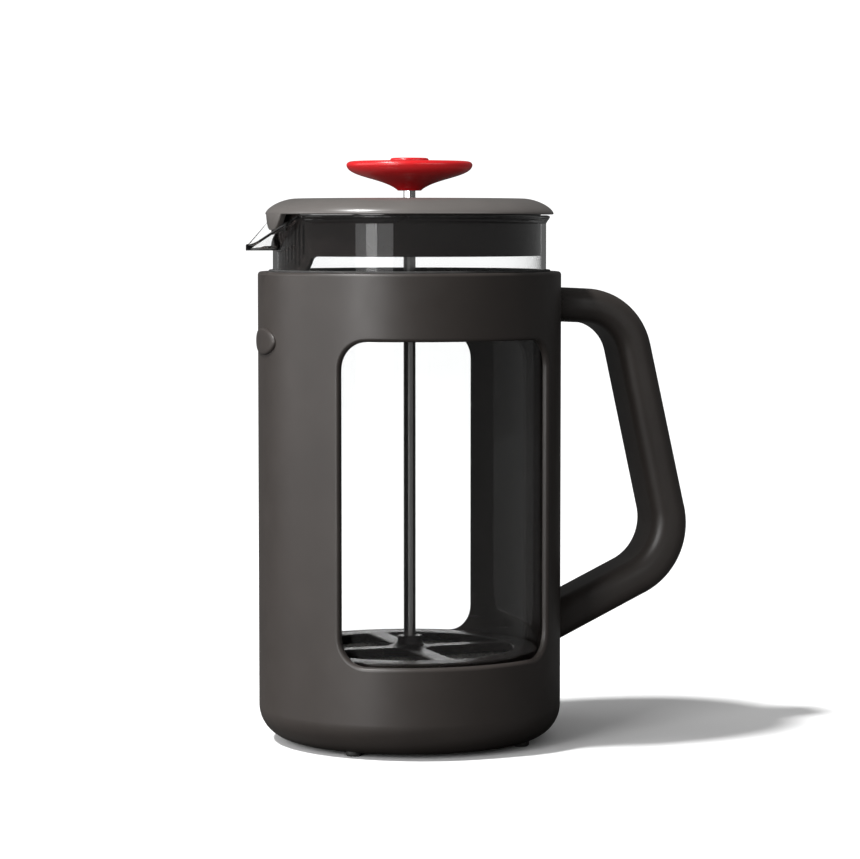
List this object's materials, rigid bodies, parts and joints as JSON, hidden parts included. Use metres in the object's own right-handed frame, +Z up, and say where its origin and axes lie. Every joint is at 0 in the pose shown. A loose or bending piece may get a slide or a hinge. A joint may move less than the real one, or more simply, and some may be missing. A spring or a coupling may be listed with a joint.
{
  "type": "french press",
  "caption": "Press-plunger coffee maker: clear spouted carafe in a windowed sleeve with a side handle, strainer lid and spoked mesh filter on a rod with a flared knob.",
  "frame": {"origin": "on the carafe's axis, in the plane of the feet", "axes": "+Z up along the rod, +X towards the handle, -X towards the spout, windows facing +Y and -Y"},
  "size_m": [0.1698, 0.111, 0.2134],
  "materials": {
    "body_plastic": "satin moulded plastic, warm dark grey",
    "lid_plastic": "semi-gloss moulded plastic, warm grey",
    "dark_plastic": "glossy moulded plastic, near black",
    "red_plastic": "satin red plastic",
    "soft_rubber": "matte soft rubber",
    "clear_plastic": "clear polished plastic",
    "steel": "drawn stainless steel",
    "brass": "turned brass"
  },
  "bodies": {
    "frame": {"sleeve": "body_plastic", "handle": "body_plastic", "handle_screws": "steel", "badge": "body_plastic", "feet": "soft_rubber", "base_pad": "soft_rubber", "collar_ring": "soft_rubber"},
    "carafe": {"carafe": "clear_plastic"},
    "lid": {"lid_cover": "lid_plastic", "lid_skirt": "dark_plastic"},
    "bush": {"rod_bush": "dark_plastic"},
    "plunger": {"rod": "steel", "knob": "red_plastic", "knob_cap": "red_plastic", "knob_insert": "brass", "spider_plate": "dark_plastic", "hub_insert": "brass", "mesh_screen": "steel", "edge_spring": "steel", "lower_plate": "dark_plastic", "clamp_nut": "steel"}
  },
  "joints": [
    {"name": "carafe_lift", "type": "slide", "parent": "frame", "child": "carafe", "axis": [0, 0, 1], "range_m": [0, 0.18]},
    {"name": "lid_lift", "type": "slide", "parent": "carafe", "child": "lid", "axis": [0, 0, 1], "range_m": [0, 0.175]},
    {"name": "rod_spin", "type": "hinge", "parent": "lid", "child": "bush", "pos_m": [0, 0, 0.1965], "axis": [0, 0, 1], "continuous": true},
    {"name": "plunger_slide", "type": "slide", "parent": "bush", "child": "plunger", "axis": [0, 0, 1], "range_m": [-0.002, 0.133]}
  ]
}
